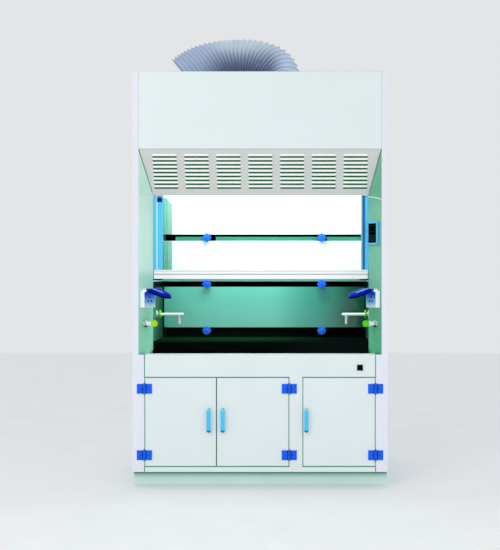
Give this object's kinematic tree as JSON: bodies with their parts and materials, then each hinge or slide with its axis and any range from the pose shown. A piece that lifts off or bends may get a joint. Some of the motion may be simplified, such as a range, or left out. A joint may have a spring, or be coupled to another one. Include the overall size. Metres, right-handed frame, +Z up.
{
  "type": "fume hood",
  "caption": "Floor-standing ducted laboratory fume hood with a cupboard base, vertical sliding sash, slotted rear baffle, side services and a flexible exhaust duct.",
  "frame": {"origin": "on the floor, at the centre of the overall outline seen from above", "axes": "+Z up, +Y towards the back, +X to the user's right when facing the sash"},
  "size_m": [1.5, 0.9199, 2.735],
  "materials": {
    "white_steel": "smooth white powder coat",
    "grey_steel": "pale grey powder coat",
    "mint_liner": "pale green coated sheet, satin",
    "teal_baffle": "green laminate panel, satin",
    "white_baffle": "white laminate panel, satin",
    "black_top": "black chemical-resistant worktop, semi-gloss",
    "dark_plinth": "grey-green coated sheet",
    "sash_white": "white coated extrusion",
    "lamp_white": "white diffuser housing",
    "sash_blue": "light blue moulded edge profile",
    "clear_glass": "clear toughened glass",
    "hardware_blue": "blue moulded plastic",
    "handle_blue": "light blue moulded plastic",
    "cover_blue": "dark blue glossy plastic",
    "socket_white": "white moulded plastic",
    "valve_white": "white epoxy coat",
    "valve_green": "green moulded plastic",
    "valve_yellow": "yellow-green moulded plastic",
    "steel": "bright steel",
    "cast_steel": "plain steel bar",
    "duct_grey": "ribbed flexible plastic, satin",
    "black_plastic": "black moulded plastic"
  },
  "bodies": {
    "cabinet": {"back_panel": "white_steel", "top_panel": "white_steel", "header_panel": "white_steel", "front_frame": "white_steel", "chamber_ceiling": "white_steel", "side_shell_left": "white_steel", "side_shell_right": "white_steel", "louver_panel": "grey_steel", "base_carcass": "grey_steel", "plinth": "dark_plinth", "liner_left": "mint_liner", "jamb_left": "mint_liner", "socket_left": "socket_white", "tap_left": "valve_white", "valve_body_left": "valve_white", "sash_cable_left": "steel", "liner_right": "mint_liner", "jamb_right": "mint_liner", "socket_right": "socket_white", "tap_right": "valve_white", "valve_body_right": "valve_white", "sash_cable_right": "steel", "baffle_lower": "teal_baffle", "baffle_middle": "teal_baffle", "baffle_upper": "white_baffle", "worktop": "black_top", "lamp": "lamp_white", "exhaust_duct": "duct_grey", "apron_vent": "black_plastic", "control_panel": "handle_blue", "hinge_left_lower": "hardware_blue", "hinge_left_upper": "hardware_blue", "hinge_middle_lower": "hardware_blue", "hinge_middle_upper": "hardware_blue", "hinge_right_lower": "hardware_blue", "hinge_right_upper": "hardware_blue"},
    "sash": {"sash_glass": "clear_glass", "sash_handle": "sash_white", "sash_stile_left": "sash_blue", "sash_stile_right": "sash_blue"},
    "weight_left": {"counterweight_left": "cast_steel"},
    "pulley_wheel_left": {"pulley_left": "steel"},
    "weight_right": {"counterweight_right": "cast_steel"},
    "pulley_wheel_right": {"pulley_right": "steel"},
    "left_door": {"door_left": "white_steel", "door_handle_left": "handle_blue"},
    "middle_door": {"door_middle": "white_steel", "door_handle_middle": "handle_blue"},
    "right_door": {"door_right": "white_steel", "door_handle_right": "handle_blue"},
    "cover_left": {"splash_cover_left": "cover_blue"},
    "tap_knob_left": {"valve_knob_left": "valve_yellow"},
    "cover_right": {"splash_cover_right": "cover_blue"},
    "tap_knob_right": {"valve_knob_right": "valve_green"},
    "clamp_lower_left": {"star_knob_lower_left": "hardware_blue"},
    "clamp_lower_right": {"star_knob_lower_right": "hardware_blue"},
    "clamp_middle_left": {"star_knob_middle_left": "hardware_blue"},
    "clamp_middle_right": {"star_knob_middle_right": "hardware_blue"},
    "clamp_upper_left": {"star_knob_upper_left": "hardware_blue"},
    "clamp_upper_right": {"star_knob_upper_right": "hardware_blue"}
  },
  "joints": [
    {"name": "sash_lift", "type": "slide", "parent": "cabinet", "child": "sash", "axis": [0, 0, 1], "range_m": [-0.373, 0.25], "deforming": ["sash_cable_left", "sash_cable_right"]},
    {"name": "weight_left_travel", "type": "slide", "parent": "cabinet", "child": "weight_left", "axis": [0, 0, 1], "range_m": [-0.2505, 0.3735]},
    {"name": "pulley_left_turn", "type": "hinge", "parent": "cabinet", "child": "pulley_wheel_left", "pos_m": [-0.698, -0.226, 2.398], "axis": [1, 0, 0], "range_deg": [-517, 768]},
    {"name": "weight_right_travel", "type": "slide", "parent": "cabinet", "child": "weight_right", "axis": [0, 0, 1], "range_m": [-0.2505, 0.3735]},
    {"name": "pulley_right_turn", "type": "hinge", "parent": "cabinet", "child": "pulley_wheel_right", "pos_m": [0.698, -0.226, 2.398], "axis": [1, 0, 0], "range_deg": [-517, 768]},
    {"name": "left_door_swing", "type": "hinge", "parent": "cabinet", "child": "left_door", "pos_m": [-0.679, -0.3963, 0.379], "axis": [0, 0, -1], "range_deg": [0, 105]},
    {"name": "middle_door_swing", "type": "hinge", "parent": "cabinet", "child": "middle_door", "pos_m": [0.172, -0.3963, 0.379], "axis": [0, 0, 1], "range_deg": [0, 105]},
    {"name": "right_door_swing", "type": "hinge", "parent": "cabinet", "child": "right_door", "pos_m": [0.679, -0.3963, 0.379], "axis": [0, 0, 1], "range_deg": [0, 105]},
    {"name": "cover_left_swing", "type": "hinge", "parent": "cabinet", "child": "cover_left", "pos_m": [-0.64852, -0.35539, 1.156], "axis": [-0.5145, -0.8575, 0], "range_deg": [-71, 25]},
    {"name": "tap_knob_left_turn", "type": "hinge", "parent": "cabinet", "child": "tap_knob_left", "pos_m": [-0.62091, -0.38128, 0.956], "axis": [0.8575, -0.5145, 0], "range_deg": [0, 270]},
    {"name": "cover_right_swing", "type": "hinge", "parent": "cabinet", "child": "cover_right", "pos_m": [0.64852, -0.35539, 1.156], "axis": [-0.5145, 0.8575, 0], "range_deg": [-71, 25]},
    {"name": "tap_knob_right_turn", "type": "hinge", "parent": "cabinet", "child": "tap_knob_right", "pos_m": [0.62091, -0.38128, 0.956], "axis": [-0.8575, -0.5145, 0], "range_deg": [0, 270]},
    {"name": "clamp_lower_left_turn", "type": "hinge", "parent": "cabinet", "child": "clamp_lower_left", "pos_m": [-0.377, 0.255, 0.878], "axis": [0, -1, 0], "range_deg": [0, 360]},
    {"name": "clamp_lower_right_turn", "type": "hinge", "parent": "cabinet", "child": "clamp_lower_right", "pos_m": [0.377, 0.255, 0.878], "axis": [0, -1, 0], "range_deg": [0, 360]},
    {"name": "clamp_middle_left_turn", "type": "hinge", "parent": "cabinet", "child": "clamp_middle_left", "pos_m": [-0.377, 0.255, 1.182], "axis": [0, -1, 0], "range_deg": [0, 360]},
    {"name": "clamp_middle_right_turn", "type": "hinge", "parent": "cabinet", "child": "clamp_middle_right", "pos_m": [0.377, 0.255, 1.182], "axis": [0, -1, 0], "range_deg": [0, 360]},
    {"name": "clamp_upper_left_turn", "type": "hinge", "parent": "cabinet", "child": "clamp_upper_left", "pos_m": [-0.377, 0.255, 1.4875], "axis": [0, -1, 0], "range_deg": [0, 360]},
    {"name": "clamp_upper_right_turn", "type": "hinge", "parent": "cabinet", "child": "clamp_upper_right", "pos_m": [0.377, 0.255, 1.4875], "axis": [0, -1, 0], "range_deg": [0, 360]}
  ],
  "couplings": [
    {"joint": "weight_left_travel", "follows": "sash_lift", "ratio": -1},
    {"joint": "pulley_left_turn", "follows": "sash_lift", "rad_per_m": -35.714},
    {"joint": "weight_right_travel", "follows": "sash_lift", "ratio": -1},
    {"joint": "pulley_right_turn", "follows": "sash_lift", "rad_per_m": -35.714}
  ]
}
